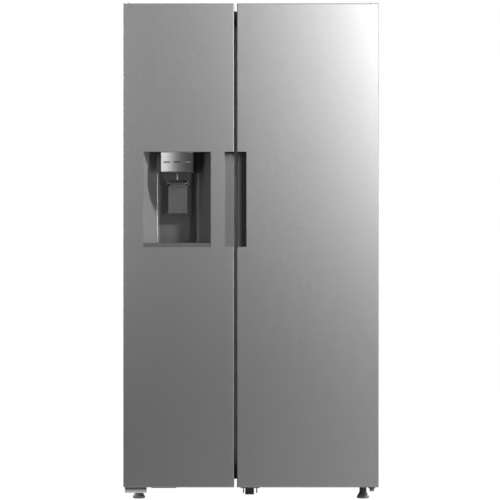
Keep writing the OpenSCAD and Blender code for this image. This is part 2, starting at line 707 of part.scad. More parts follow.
module ice_maker() color("lightgray") {
    x = [freezer_x[0] + 24, freezer_x[1] - 70];
    y = [cover_y - 250, cover_y - 30];
    z = [inner_z[1] - 84, inner_z[1] - 24];
    pockets = 7;
    difference() {
        block(x, y, z);
        for (i = [0:pockets - 1]) let (yc = y[0] + 26 + 28 * i)
            rod_x([x[0] + 14, x[1] - 14], yc, z[1] + 2, 12);
    }
    // Drive box and the two hangers from the liner's roof
    block([x[1], x[1] + 44], y, z);
    for (yc = [y[0] + 30, y[1] - 30]) block([x[1] + 10, x[1] + 30], around(yc, 8), [z[1], inner_z[1]]);
}

module lamps() color("ivory") for (x = [freezer_x, fridge_x]) difference() {
    xc = (x[0] + x[1]) / 2;
    block(around(xc, 90), [y_case + 60, y_case + 104], [inner_z[1] - 10, inner_z[1]]);
    for (i = [-7:7]) block(around(xc + 11 * i, 2), [y_case + 66, y_case + 98],
        [inner_z[1] - 11, inner_z[1] - 8]);
}

// ---------- Cooling ----------
evap_y = [cover_y + 8, inner_y - 3];
evap_z = [step_z + 70, evap_fan_z - 110];
module evaporator() color("silver") {
    for (i = [0:11]) block(around(freezer_x[0] + 30 + i * 22, 0.5), evap_y, evap_z);
    for (j = [0:5]) rod_x([freezer_x[0] + 18, freezer_x[0] + 284], (evap_y[0] + evap_y[1]) / 2,
        evap_z[0] + 24 + j * (evap_z[1] - evap_z[0] - 48) / 5, 4);
}
module evaporator_cover() color("white") {
    difference() {
        block(grow(freezer_x, -1), [cover_y, cover_y + 3], [step_z + 1, inner_z[1] - 8]);
        rod_y(evap_x, [cover_y - cut, cover_y + 4], evap_fan_z, evap_fan_r + 5);
        for (i = [-5:5]) block(around(evap_x, 90), [cover_y - cut, cover_y + 4],
            around(step_z + 160 + 12 * i, 3));
    }
    // Motor on its cross bar behind the fan
    for (s = [-1, 1]) block(around(evap_x + s * (evap_fan_r + 12), 4), [cover_y + 3, cover_y + 34],
        around(evap_fan_z, 10));
    block(around(evap_x, evap_fan_r + 16), [cover_y + 30, cover_y + 34], around(evap_fan_z, 10));
    rod_y(evap_x, [cover_y + 24, cover_y + 46], evap_fan_z, 20);
    rod_y(evap_x, [cover_y + 6, cover_y + 24], evap_fan_z, shaft_r);
}

// Axial fan about Z with leaning blades; h is its thickness
module fan(r, hub_r, h, blades) difference() {
    union() {
        cylinder(r = hub_r, h = h);
        for (i = [0:blades - 1]) rotate([0, 0, 360 / blades * i]) intersection() {
            translate([hub_r - 2, 0, h / 2]) rotate([28, 0, 0]) translate([0, -r * 0.3, -0.8])
                cube([r - hub_r, r * 0.6, 1.6]);
            cylinder(r = r, h = h);
        }
    }
    translate([0, 0, -cut]) cylinder(r = shaft_r + pin_fit, h = h + 2 * cut);
}
module evaporator_fan() color("white") translate([evap_x, cover_y + 20, evap_fan_z])
    rotate([90, 0, 0]) fan(evap_fan_r, 14, 14, 5);

module air_duct() color("white") difference() {
    xc = (fridge_x[0] + fridge_x[1]) / 2;
    block(around(xc, 70), [inner_y - 22, inner_y], [shelf_low + 20, inner_z[1] - 40]);
    block(around(xc, 66), [inner_y - 18, inner_y - 3], [shelf_low + 24, inner_z[1] - 44]);
    for (z = fridge_levels) for (s = [-1, 1]) block(around(xc + s * 32, 22), [inner_y - 23, inner_y - 17],
        [z + 60, z + 66]);
}

module compressor() color("dimgray") {
    r = 72;
    base = case_bottom + sheet_t;
    yc = (machine_y + y_back) / 2;
    block(around(compressor_x, 98), around(yc, 70), [base + 12, base + 15]);
    for (sx = [-1, 1]) for (sy = [-1, 1]) translate([compressor_x + sx * 84, yc + sy * 58, base]) {
        cylinder(r = 12, h = 12);
        cylinder(r = 5, h = 20);
    }
    translate([compressor_x, yc, base + 15]) rotate_extrude()
        polygon(concat([[0, 0], [r - 14, 0]], arc([r - 12, 26], 14, -45, 0), arc([r - 38, 118], 40, 0, 60),
            [[0, 166]]));
    // Terminal box and the stubs of the pipes
    block([compressor_x + r - 4, compressor_x + r + 26], around(yc, 24), [base + 50, base + 100]);
    rod_x([compressor_x - r - 24, compressor_x - r + 8], yc + 16, base + 96, 5);
    rod_x([compressor_x - r - 24, compressor_x - r + 8], yc - 16, base + 76, 4);
}

condenser_x = [-310, -90];
module condenser() color("dimgray") {
    y = [machine_y + 50, y_back - 50];
    z = [case_bottom + 46, case_bottom + 190];
    for (i = [0:9]) block(around(condenser_x[0] + 20 + 20 * i, 0.6), y, z);
    for (j = [0:3]) for (yc = [y[0] + 26, y[1] - 26])
        rod_x(condenser_x, yc, z[0] + 18 + 36 * j, 4);
    for (s = [0, 1]) block(s ? [condenser_x[1] - 2, condenser_x[1]] : [condenser_x[0], condenser_x[0] + 2], y,
        [case_bottom + sheet_t, z[1]]);
}

module fan_shroud() color("gray") {
    difference() {
        block([fan_x - 3, fan_x], [machine_y + 12, y_back - 12], [case_bottom + sheet_t, machine_top - 14]);
        rod_x([fan_x - 4, fan_x + 1], fan_y, fan_z, fan_r + 4);
    }
    for (s = [-1, 1]) block([fan_x, fan_x + 46], around(fan_y + s * (fan_r + 10), 4), around(fan_z, 10));
    block([fan_x + 42, fan_x + 46], around(fan_y, fan_r + 14), around(fan_z, 10));
    rod_x([fan_x + 32, fan_x + 66], fan_y, fan_z, 24);
    rod_x([fan_x + 6, fan_x + 32], fan_y, fan_z, shaft_r);
}
module condenser_fan() color("black") translate([fan_x + 4, fan_y, fan_z])
    rotate([0, 90, 0]) fan(fan_r, 18, 22, 5);

module drain_pan() color("black") {
    z = [case_bottom + sheet_t, case_bottom + 36];
    y = [machine_y + 30, y_back - 30];
    x = [condenser_x[0] + 8, condenser_x[1] - 8];
    difference() {
        block(x, y, z);
        block(grow(x, -3), grow(y, -3), [z[0] + 3, z[1] + cut]);
    }
}

inlet_x = case_x[1] - 96;
module machine_cover() color("gray") difference() {
    block(grow(case_x, -8), [y_back - 2, y_back], [case_bottom + 6, machine_top - 2]);
    for (j = [0:8]) for (i = [-4:2]) block(around(i * 66, 27), [y_back - 3, y_back + cut],
        around(case_bottom + 34 + 20 * j, 4));
    block(around(valve_x, 22), [y_back - 3, y_back + cut], around(valve_z, 26));
    block(around(inlet_x, 20), [y_back - 3, y_back + cut], around(valve_z, 16));
}

module water_valve() color("white") difference() {
    union() {
        block(around(valve_x, 20), [y_back - 62, y_back - 14], around(valve_z, 22));
        rod_y(valve_x, [y_back - 14, y_back - 1], valve_z, 9);
        rod_z(valve_x, y_back - 38, [valve_z + 22, valve_z + 50], 14);
        block(around(valve_x, 30), [y_back - 64, y_back - 62], [case_bottom + sheet_t, valve_z + 18]);
    }
    rod_y(valve_x, [y_back - 26, y_back], valve_z, tube_r);
}

module power_inlet() color("black") {
    difference() {
        block(around(inlet_x, 19), [y_back - 30, y_back], around(valve_z, 15));
        block(around(inlet_x, 13), [y_back - 20, y_back + cut], around(valve_z, 9));
    }
    for (i = [-1:1]) block(around(inlet_x + 7 * i, 1), [y_back - 20, y_back - 4],
        around(valve_z + (i == 0 ? 3 : -2), 2));
}

// ---------- Feet and rollers ----------
centre_x = -3;
module roller_brackets() color("dimgray") {
    for (s = [-1, 1]) translate([s * roller_x, 0, 0]) {
        block(around(0, 30), around(roller_y, 34), [case_bottom - 3, case_bottom]);
        for (t = [-1, 1]) block(around(t * (roller_w / 2 + 1 + fork_t / 2), fork_t / 2), around(roller_y, 16),
            [roller_r - 10, case_bottom - 3]);
        rod_x(around(0, roller_w / 2 + 1 + fork_t), roller_y, roller_r, axle_r);
    }
    // Stop in the middle of the front edge: post, flange, two ears and a skid block
    block(around(centre_x, 27), [y_case + 8, y_case + 60], [42, case_bottom]);
    block(around(centre_x, 34), [y_case + 4, y_case + 64], [38, 42]);
    for (s = [-1, 1]) block(around(centre_x + s * 24, 2), [y_case + 10, y_case + 58], [20, 38]);
    block(around(centre_x - 2, 16), [y_case + 14, y_case + 54], [14, 38]);
}

module roller() rotate([0, 90, 0]) rotate_extrude()
    polygon([[axle_r + pin_fit, -roller_w / 2], [axle_r + pin_fit, roller_w / 2], [roller_r - 3, roller_w / 2],
        [roller_r, roller_w / 2 - 3], [roller_r, 3 - roller_w / 2], [roller_r - 3, -roller_w / 2]]);
module rear_roller_left() color("black") translate([-roller_x, roller_y, roller_r]) roller();
module rear_roller_right() color("black") translate([roller_x, roller_y, roller_r]) roller();

// Levelling foot: flared base, hexagonal neck for the spanner, stem in the hinge plate's boss
module foot(x) translate([x, foot_y, 0]) {
    rotate_extrude() polygon([[0, 0], [foot_r - 1, 0], [foot_r, 1], [foot_r, 7], [foot_r - 1.5, 9],
        [foot_r - 5, 14], [foot_r - 7, 20], [0, 20]]);
    cylinder(r = 13, h = 50, $fn = 6);
    cylinder(r = foot_stem_r, h = case_bottom - 2);
}
module foot_left() color("black") foot(-foot_x);
module foot_right() color("black") foot(foot_x);

outer_case();
rear_panel();
base_pan();
cabinet_foam();
freezer_liner();
fridge_liner();
front_mullion();
top_hinges();
hinge_covers();
bottom_hinges();
hinge_screws();
compressor();
condenser();
fan_shroud();
drain_pan();
machine_cover();
water_valve();
power_inlet();
evaporator();
evaporator_cover();
air_duct();
glass_shelves();
shelf_frames();
ice_maker();
lamps();
roller_brackets();
freezer_skin();
freezer_door_foam();
freezer_door_liner();
freezer_bin_frame();
freezer_gasket();
freezer_end_caps();
freezer_handle();
dispenser_housing();
dispenser_head();
dispenser_marks();
dispenser_spouts();
paddle_spring();
freezer_bins();
fridge_skin();
fridge_door_foam();
fridge_door_liner();
fridge_gasket();
fridge_end_caps();
fridge_handle();
fridge_bins();
dispenser_paddle();
drip_tray();
freezer_drawer_upper();
freezer_drawer_lower();
crisper_upper();
crisper_lower();
ice_bucket();
condenser_fan();
evaporator_fan();
dairy_lid();
foot_left();
foot_right();
rear_roller_left();
rear_roller_right();
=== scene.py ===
"""Looks of the side by side refrigerator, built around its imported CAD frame. Units are metres."""
import json
import math

import bmesh
import bpy
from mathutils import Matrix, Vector


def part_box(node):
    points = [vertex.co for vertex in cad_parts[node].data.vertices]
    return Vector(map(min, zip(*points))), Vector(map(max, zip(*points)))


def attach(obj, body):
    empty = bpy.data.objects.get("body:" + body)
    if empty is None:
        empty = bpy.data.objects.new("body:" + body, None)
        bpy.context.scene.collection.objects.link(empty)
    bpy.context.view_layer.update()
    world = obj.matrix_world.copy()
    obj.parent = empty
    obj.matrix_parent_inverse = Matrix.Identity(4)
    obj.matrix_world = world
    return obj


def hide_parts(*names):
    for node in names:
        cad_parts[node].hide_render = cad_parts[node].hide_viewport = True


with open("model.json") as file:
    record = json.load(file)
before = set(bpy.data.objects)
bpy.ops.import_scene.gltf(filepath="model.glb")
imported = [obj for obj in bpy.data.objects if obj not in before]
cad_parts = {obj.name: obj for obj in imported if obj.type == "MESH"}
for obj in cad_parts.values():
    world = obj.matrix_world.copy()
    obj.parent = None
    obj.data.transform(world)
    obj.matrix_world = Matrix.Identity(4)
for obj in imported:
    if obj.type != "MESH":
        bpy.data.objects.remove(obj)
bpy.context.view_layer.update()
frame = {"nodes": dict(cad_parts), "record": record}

MM = 0.001


# ---------------------------------------------------------------- frame places
def low(node):
    """Lowest corner of a CAD node at rest."""
    return Vector(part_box(node)[0])


def high(node):
    """Highest corner of a CAD node at rest."""
    return Vector(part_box(node)[1])


BODY_OF = {node: body for body, nodes in frame["record"]["behaviour"]["bodies"].items() for node in nodes}


# ---------------------------------------------------------------- materials
NOISE_MIDDLE = (0.3, 0.7)


class Look:
    """A Principled material with helpers for its procedural detail, in object coordinates."""

    def __init__(self, name, color, roughness=0.5, metallic=0.0):
        self.mat = bpy.data.materials.new(name)
        self.mat.use_nodes = True
        self.tree = self.mat.node_tree
        self.shader = self.tree.nodes["Principled BSDF"]
        self.shader.inputs["Base Color"].default_value = (*color, 1.0)
        self.shader.inputs["Roughness"].default_value = roughness
        self.shader.inputs["Metallic"].default_value = metallic
        self.color = color
        self.place = self.tree.nodes.new("ShaderNodeTexCoord")

    def set(self, socket, value):
        """Gives a shader socket one plain value."""
        self.shader.inputs[socket].default_value = value
        return self

    def noise(self, scale, detail=3.0, stretch=(1, 1, 1)):
        """Noise in object space; scale is in waves per metre, stretch multiplies it per axis."""
        mapping = self.tree.nodes.new("ShaderNodeMapping")
        mapping.inputs["Scale"].default_value = [scale * s for s in stretch]
        self.tree.links.new(self.place.outputs["Object"], mapping.inputs["Vector"])
        tex = self.tree.nodes.new("ShaderNodeTexNoise")
        tex.inputs["Scale"].default_value = 1.0
        tex.inputs["Detail"].default_value = detail
        self.tree.links.new(mapping.outputs["Vector"], tex.inputs["Vector"])
        return tex.outputs["Fac"]

    def ramp(self, fac, low_value, high_value):
        """Spreads the middle of a noise, where most of its values lie, from low_value to high_value."""
        node = self.tree.nodes.new("ShaderNodeMapRange")
        node.inputs["From Min"].default_value, node.inputs["From Max"].default_value = NOISE_MIDDLE
        node.inputs["To Min"].default_value = low_value
        node.inputs["To Max"].default_value = high_value
        self.tree.links.new(fac, node.inputs["Value"])
        return node.outputs["Result"]

    def vary_roughness(self, fac, low_value, high_value):
        self.tree.links.new(self.ramp(fac, low_value, high_value), self.shader.inputs["Roughness"])
        return self

    def vary_color(self, fac, dark, light):
        """Multiplies the base colour by dark to light as the noise goes from low to high."""
        mix = self.tree.nodes.new("ShaderNodeMix")
        mix.data_type = "RGBA"
        mix.inputs["A"].default_value = (*[c * dark for c in self.color], 1.0)
        mix.inputs["B"].default_value = (*[min(1.0, c * light) for c in self.color], 1.0)
        self.tree.links.new(self.ramp(fac, 0.0, 1.0), mix.inputs["Factor"])
        self.tree.links.new(mix.outputs["Result"], self.shader.inputs["Base Color"])
        return self

    def bump(self, fac, depth, strength=1.0):
        """Raises the surface by depth metres where the noise is high."""
        node = self.tree.nodes.new("ShaderNodeBump")
        node.inputs["Strength"].default_value = strength
        node.inputs["Distance"].default_value = depth
        self.tree.links.new(fac, node.inputs["Height"])
        self.tree.links.new(node.outputs["Normal"], self.shader.inputs["Normal"])
        return self


def brushed_steel(name, color, roughness):
    """Stainless sheet with a fine short grain that runs across it."""
    look = Look(name, color, roughness, metallic=1.0)
    grain = look.noise(330, 2.0, stretch=(0.35, 1, 1))
    look.vary_roughness(grain, roughness - 0.012, roughness + 0.012)
    look.vary_color(look.noise(520, 1.0, stretch=(0.4, 1, 1)), 0.975, 1.025)
    return look.bump(grain, 0.015 * MM, 0.25)


def enamel(name, color, grain=900, depth=0.06 * MM, roughness=0.42):
    """Painted sheet with a fine pebbled surface."""
    look = Look(name, color, roughness)
    look.vary_roughness(look.noise(40), roughness - 0.04, roughness + 0.05)
    look.vary_color(look.noise(6), 0.97, 1.02)
    return look.bump(look.noise(grain, 1.5), depth, 0.6)


def plastic(name, color, roughness=0.4, grain=1500, depth=0.03 * MM, mottle=0.03):
    """Moulded plastic with a fine spark-eroded grain."""
    look = Look(name, color, roughness)
    look.vary_roughness(look.noise(60), roughness - 0.04, roughness + 0.05)
    look.vary_color(look.noise(12), 1 - mottle, 1 + mottle)
    return look.bump(look.noise(grain, 1.0), depth, 0.5)


def clear(name, color, roughness, ior=1.49):
    """Clear moulded plastic or glass: light passes, with a faint waviness."""
    look = Look(name, color, roughness)
    look.set("Transmission Weight", 1.0).set("IOR", ior)
    look.vary_roughness(look.noise(25), roughness - 0.02, roughness + 0.04)
    return look.bump(look.noise(30, 1.0), 0.2 * MM, 0.15)


def foam(name, color):
    """Rigid foam with uneven cells."""
    look = Look(name, color, 0.9)
    look.vary_color(look.noise(70, 4.0), 0.85, 1.1)
    return look.bump(look.noise(500), 0.4 * MM, 0.8)


STEEL = brushed_steel("stainless", (0.70, 0.70, 0.70), 0.32)
# Darker, rougher copy of the stainless for the folded edges of the door skins: painted shade that dims
# their highlight
SHADED_EDGE_STEEL = brushed_steel("stainless_edge_painted_shade", (0.30, 0.30, 0.298), 0.5)
HEAD_STEEL = brushed_steel("stainless_head", (0.72, 0.72, 0.72), 0.5)
CASE = enamel("case_enamel", (0.34, 0.345, 0.35))
BARE = enamel("galvanised", (0.45, 0.46, 0.47), 120, 0.03 * MM, 0.5).set("Metallic", 0.6)
ZINC = enamel("zinc_plate", (0.55, 0.56, 0.57), 300, 0.02 * MM, 0.38).set("Metallic", 0.9)
HINGE = enamel("hinge_enamel", (0.62, 0.625, 0.63))
LINER = plastic("liner_white", (0.86, 0.87, 0.87), 0.22, 900, 0.01 * MM, mottle=0.01)
GASKET = plastic("gasket_grey", (0.36, 0.365, 0.37), 0.6, 1200)
CAP = plastic("cap_grey", (0.22, 0.22, 0.225), 0.45)
POCKET = plastic("pocket_grey", (0.06, 0.06, 0.061), 0.42)
CAVITY = plastic("cavity_grey", (0.13, 0.13, 0.132), 0.34)
# Lighter copy of the cavity plastic for the side walls: painted light on them, against the darker back
# wall
CAVITY_SIDE_PAINTED_LIGHT = plastic("cavity_side_painted_light", (0.27, 0.27, 0.273), 0.4, 900, 0.01 * MM)
CAVITY_CORNER = plastic("cavity_corner", (0.24, 0.24, 0.243), 0.1, 900, 0.002 * MM)
PADDLE = plastic("paddle_grey", (0.07, 0.07, 0.071), 0.36)
TRAY = plastic("tray_grey", (0.085, 0.085, 0.087), 0.4)
MARK = plastic("mark_dark", (0.02, 0.02, 0.022), 0.3)
SPOUT = plastic("spout_grey", (0.22, 0.22, 0.223), 0.4)
SPRING = enamel("spring_wire", (0.6, 0.6, 0.62), 600, 0.01 * MM, 0.25).set("Metallic", 1.0)
GLASS = clear("shelf_glass", (0.90, 0.97, 0.95), 0.03, 1.5)
TRIM = plastic("shelf_trim", (0.78, 0.79, 0.80), 0.3)
CLEAR_BIN = clear("clear_bin", (0.975, 0.985, 0.99), 0.08)
BUCKET = plastic("bucket_white", (0.80, 0.83, 0.86), 0.25).set("Transmission Weight", 0.25)
ICE_TRAY = enamel("ice_mould", (0.22, 0.225, 0.23), 500, 0.02 * MM, 0.5)
LAMP = plastic("lamp_lens", (0.95, 0.94, 0.90), 0.5)
FIN = enamel("fin_aluminium", (0.72, 0.73, 0.74), 250, 0.02 * MM, 0.35).set("Metallic", 0.9)
BLACK_ENAMEL = enamel("black_enamel", (0.018, 0.018, 0.02), 500, 0.04 * MM, 0.32)
BLACK = plastic("black_plastic", (0.02, 0.02, 0.021), 0.5)
FAN_WHITE = plastic("fan_white", (0.75, 0.75, 0.75), 0.4)
PAN = enamel("pan_steel", (0.30, 0.305, 0.31), 150, 0.03 * MM, 0.45).set("Metallic", 0.5)
GRILLE = plastic("rear_grille", (0.14, 0.142, 0.145), 0.55)
FOOT = plastic("foot_grey", (0.42, 0.42, 0.423), 0.5)
ROLLER = plastic("roller_black", (0.028, 0.028, 0.03), 0.45)
FOAM = foam("polyurethane_foam", (0.78, 0.68, 0.40))

NODE_LOOKS = {
    # Case and its fittings
    "outer_case": CASE, "rear_panel": BARE, "base_pan": PAN, "cabinet_foam": FOAM,
    "freezer_liner": LINER, "fridge_liner": LINER, "front_mullion": CASE,
    "top_hinges": ZINC, "hinge_covers": CAP, "bottom_hinges": HINGE, "hinge_screws": ZINC,
    "foot_left": FOOT, "foot_right": FOOT, "roller_brackets": PAN,
    "rear_roller_left": ROLLER, "rear_roller_right": ROLLER,
    # Machine compartment
    "compressor": BLACK_ENAMEL, "condenser": BLACK_ENAMEL, "fan_shroud": PAN, "condenser_fan": BLACK,
    "drain_pan": BLACK, "machine_cover": GRILLE, "water_valve": FAN_WHITE, "power_inlet": BLACK,
    # Cold side
    "evaporator": FIN, "evaporator_cover": LINER, "evaporator_fan": FAN_WHITE, "air_duct": LINER,
    # Inside
    "glass_shelves": GLASS, "shelf_frames": TRIM, "lamps": LAMP, "ice_maker": ICE_TRAY,
    "ice_bucket": BUCKET, "freezer_drawer_upper": CLEAR_BIN, "freezer_drawer_lower": CLEAR_BIN,
    "crisper_upper": CLEAR_BIN, "crisper_lower": CLEAR_BIN,
    # Freezer door and its dispenser
    "freezer_skin": STEEL, "freezer_door_foam": FOAM, "freezer_door_liner": LINER,
    "freezer_bin_frame": LINER, "freezer_gasket": GASKET, "freezer_end_caps": CAP,
    "freezer_handle": POCKET, "freezer_bins": CLEAR_BIN, "dispenser_housing": CAVITY,
    "dispenser_head": HEAD_STEEL, "dispenser_marks": MARK, "dispenser_spouts": SPOUT,
    "dispenser_paddle": PADDLE, "paddle_spring": SPRING, "drip_tray": TRAY,
    # Fresh-food door
    "fridge_skin": STEEL, "fridge_door_foam": FOAM, "fridge_door_liner": LINER,
    "fridge_gasket": GASKET, "fridge_end_caps": CAP, "fridge_handle": POCKET,
    "fridge_bins": CLEAR_BIN, "dairy_lid": CLEAR_BIN,
}

for node_name, look in NODE_LOOKS.items():
    node_mesh = frame["nodes"][node_name].data
    node_mesh.materials.clear()
    node_mesh.materials.append(look.mat)


# ---------------------------------------------------------------- mesh helpers
BEVEL_ANGLE = math.radians(30)
SMOOTH_ANGLE = 35
WELD_DISTANCE = 1e-6
FLAT_ANGLE = math.radians(0.5)
# A mesh whose drawn area grows past this share has a badly joined face
AREA_LIMIT = 1.01


def piece(name, work, look, body, replaced):
    """Makes an object from a bmesh, rides it on a body and hides the CAD nodes that it stands for."""
    mesh = bpy.data.meshes.new(name)
    bmesh.ops.recalc_face_normals(work, faces=work.faces)
    work.to_mesh(mesh)
    work.free()
    mesh.materials.append(look.mat)
    obj = bpy.data.objects.new(name, mesh)
    bpy.context.scene.collection.objects.link(obj)
    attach(obj, body)
    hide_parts(*replaced)
    return obj


def smooth_by_angle(obj, angle):
    """Smooths the shading over edges that turn by less than the angle, in degrees."""
    obj.data.shade_smooth()
    obj.data.set_sharp_from_angle(angle=math.radians(angle))


def smooth_piece(name, work, look, node, angle=40):
    """A piece that stands for one CAD node, shaded smooth."""
    obj = piece(name, work, look, BODY_OF[node], [node])
    smooth_by_angle(obj, angle)
    return obj


def bake(obj):
    """Makes what the modifiers of an object do part of its mesh."""
    bpy.context.view_layer.update()
    graph = bpy.context.evaluated_depsgraph_get()
    made = bpy.data.meshes.new_from_object(obj.evaluated_get(graph))
    obj.modifiers.clear()
    old = obj.data
    obj.data = made
    bpy.data.meshes.remove(old)


def soften(obj, width, segments):
    """Rounds an object's edges by width, with shading that keeps its flats flat."""
    bevel = obj.modifiers.new("bevel", "BEVEL")
    bevel.width = width
    bevel.segments = segments
    bevel.limit_method = "ANGLE"
    bevel.angle_limit = BEVEL_ANGLE
    bevel.miter_outer = "MITER_ARC"
    bake(obj)
    # Large ring faces are split, because Blender would draw them over their holes
    work = bmesh.new()
    work.from_mesh(obj.data)
    bmesh.ops.triangulate(work, faces=[face for face in work.faces if len(face.verts) > 4])
    work.to_mesh(obj.data)
    work.free()
    smooth_by_angle(obj, SMOOTH_ANGLE)
    weighted = obj.modifiers.new("normals", "WEIGHTED_NORMAL")
    weighted.keep_sharp = True
    weighted.weight = 100
    bake(obj)


def true_area(mesh):
    """Area of a mesh as it is drawn, which shows up a badly joined face."""
    mesh.calc_loop_triangles()
    return sum(face.area for face in mesh.loop_triangles)


def refined(node, width, segments=2):
    """Stands for a CAD node with the same mesh, its flats joined and its edges rounded."""
    for joined in (True, False):
        work = bmesh.new()
        work.from_mesh(frame["nodes"][node].data)
        bmesh.ops.remove_doubles(work, verts=work.verts, dist=WELD_DISTANCE)
        if joined:
            bmesh.ops.dissolve_limit(work, angle_limit=FLAT_ANGLE, verts=work.verts, edges=work.edges)
        obj = piece(node + "_finish", work, NODE_LOOKS[node], BODY_OF[node], [node])
        soften(obj, width, segments)
        if true_area(obj.data) < AREA_LIMIT * true_area(frame["nodes"][node].data):
            break
        if joined:
            print("rebuilt without joining flats:", node)
            bpy.data.objects.remove(obj)
    return obj


def two_tone(obj, look, limit):
    """Gives the second finish to the faces whose normals turn sideways by more than the limit."""
    obj.data.materials.append(look.mat)
    slot = len(obj.data.materials) - 1
    for face in obj.data.polygons:
        if abs(face.normal.x) > limit:
            face.material_index = slot


# ---------------------------------------------------------------- shapes
def islands(node):
    """Lowest and highest corners of each separate solid in a CAD node, lowest solid first."""
    work = bmesh.new()
    work.from_mesh(frame["nodes"][node].data)
    bmesh.ops.remove_doubles(work, verts=work.verts, dist=WELD_DISTANCE)
    seen, boxes = set(), []
    for start in work.verts:
        if start in seen:
            continue
        group, queue = [], [start]
        seen.add(start)
        while queue:
            vert = queue.pop()
            group.append(vert.co.copy())
            for edge in vert.link_edges:
                other = edge.other_vert(vert)
                if other not in seen:
                    seen.add(other)
                    queue.append(other)
        boxes.append([Vector(pick(p[i] for p in group) for i in range(3)) for pick in (min, max)])
    work.free()
    return sorted(boxes, key=lambda b: (round(b[0].z, 4), b[0].x))


def rounded_rect(x, y, radius, steps=5):
    """Outline of a rectangle with round corners, anticlockwise; x and y hold its limits."""
    points = []
    for cx, cy, first in ((x[1], y[1], 0), (x[0], y[1], 90), (x[0], y[0], 180), (x[1], y[0], 270)):
        inner = (cx + (radius if cx == x[0] else -radius), cy + (radius if cy == y[0] else -radius))
        for i in range(steps + 1):
            a = math.radians(first + 90 * i / steps)
            points.append((inner[0] + radius * math.cos(a), inner[1] + radius * math.sin(a)))
    return points


def bridge(work, loops, capped=True):
    """Joins closed loops of equal length in turn, and closes the two ends if they are capped."""
    for a, b in zip(loops, loops[1:]):
        for i in range(len(a)):
            j = (i + 1) % len(a)
            work.faces.new((a[i], a[j], b[j], b[i]))
    if capped:
        work.faces.new(list(reversed(loops[0])))
        work.faces.new(loops[-1])


def tub(work, lo, hi, wall, radius=9 * MM, draft=2.0 * MM, rim=2.2 * MM, open_y=False):
    """Moulded tub with drafted walls, round corners and a rolled rim, open at the top or towards +Y."""
    height_axis = 1 if open_y else 2
    wide, deep = (0, 2) if open_y else (0, 1)
    z0, z1 = lo[height_axis], hi[height_axis]
    foot = 3.5 * MM
    least_radius = 1.5 * MM
    # The wall's section, up its outside and down its inside: inset from the box, and height
    steps = [
        (draft + 3 * MM, z0), (draft + 0.9 * MM, z0 + 0.9 * MM), (draft, z0 + foot),
        (rim * 0.6, z1 - 11 * MM), (0, z1 - 10 * MM), (0, z1 - 0.6 * MM), (0.6 * MM, z1),
        (wall - 0.3 * MM, z1), (wall + 0.3 * MM, z1 - 0.6 * MM), (wall + rim * 0.6, z1 - 11 * MM),
        (draft + wall, z0 + wall + foot), (draft + wall + 0.9 * MM, z0 + wall + 0.9 * MM),
        (draft + wall + 3 * MM, z0 + wall)]
    loops = []
    for inset, height in steps:
        outline = rounded_rect((lo[wide] + inset, hi[wide] - inset), (lo[deep] + inset, hi[deep] - inset),
                               max(radius - inset, least_radius))
        places = [(a, height, b) if open_y else (a, b, height) for a, b in outline]
        loops.append([work.verts.new(point) for point in places])
    bridge(work, loops)


def bar(work, lo, hi, radius, steps=3):
    """Block with rounded edges along Z and eased ends."""
    # The radius stays just under half the block, so that its corners never meet
    radius = min(radius, (hi[0] - lo[0]) / 2.01, (hi[1] - lo[1]) / 2.01)
    ease = radius * 0.4
    loops = []
    for inset, z in ((ease, lo[2]), (ease * 0.3, lo[2] + ease * 0.3), (0, lo[2] + ease),
                     (0, hi[2] - ease), (ease * 0.3, hi[2] - ease * 0.3), (ease, hi[2])):
        outline = rounded_rect((lo[0] + inset, hi[0] - inset), (lo[1] + inset, hi[1] - inset),
                               max(radius - inset, radius * 0.3), steps)
        loops.append([work.verts.new((p[0], p[1], z)) for p in outline])
    bridge(work, loops)


def lathe(work, centre, profile, sides, ripple=0.0, band=(0, 0), ribs=24):
    """Turns (radius, z) points about a vertical axis; ripple cuts ribs between the band's two heights."""
    loops = []
    for radius, z in profile:
        ring = []
        for i in range(sides):
            a = 2 * math.pi * i / sides
            grip = ripple * (0.5 + 0.5 * math.cos(ribs * a)) if band[0] <= z <= band[1] else 0.0
            ring.append(work.verts.new((centre[0] + (radius - grip) * math.cos(a),
                                        centre[1] + (radius - grip) * math.sin(a), centre[2] + z)))
        loops.append(ring)
    bridge(work, loops)


# ---------------------------------------------------------------- bins and drawers
BIN_WALL = 3 * MM
FREEZER_BIN_COUNT = 4
FRIDGE_BIN_COUNT = 6
LID_EAR = 4 * MM


def floor_ribs(work, x, y, z, shares, half_width, radius):
    """Stiffening ribs along the floor of a tub, at the given shares of its width."""
    for share in shares:
        middle = x[0] + (x[1] - x[0]) * share
        bar(work, (middle - half_width, y[0], z[0]), (middle + half_width, y[1], z[1]), radius)


def dairy_box(work, node, lo, hi):
    """Box that is open towards the space, with the two ears that hold the pin of its lid."""
    back = low("dairy_lid").y - 0.3 * MM
    pin = high("dairy_lid").z
    tub(work, lo, (hi.x, back, high(node).z), BIN_WALL, draft=0.8 * MM, rim=1 * MM, open_y=True)
    for x in (lo.x, hi.x - LID_EAR):
        bar(work, (x, back - LID_EAR, pin - 9 * MM), (x + LID_EAR, high(node).y, pin + 3 * MM), 1.8 * MM)


def make_bins(node, name, bin_count):
    """Clear door bins, lowest first; a further solid above them is the dairy box."""
    end_inset = 8 * MM
    work = bmesh.new()
    boxes = islands(node)
    for lo, hi in boxes[:bin_count]:
        tub(work, lo, hi, BIN_WALL)
        floor_ribs(work, (lo.x, hi.x), (lo.y + end_inset, hi.y - end_inset),
                   (lo.z + BIN_WALL * 0.4, lo.z + BIN_WALL + 2.5 * MM), (0.3, 0.7), 2 * MM, 1.5 * MM)
    if len(boxes) > bin_count:
        dairy_box(work, node, *boxes[bin_count])
    return smooth_piece(name, work, CLEAR_BIN, node)


def front_wall_y(node):
    """Y of a drawer's front wall, which its floor gives, because the grip stands out above it."""
    floor_z = low(node).z
    return min(v.co.y for v in frame["nodes"][node].data.vertices if v.co.z < floor_z + 1 * MM)


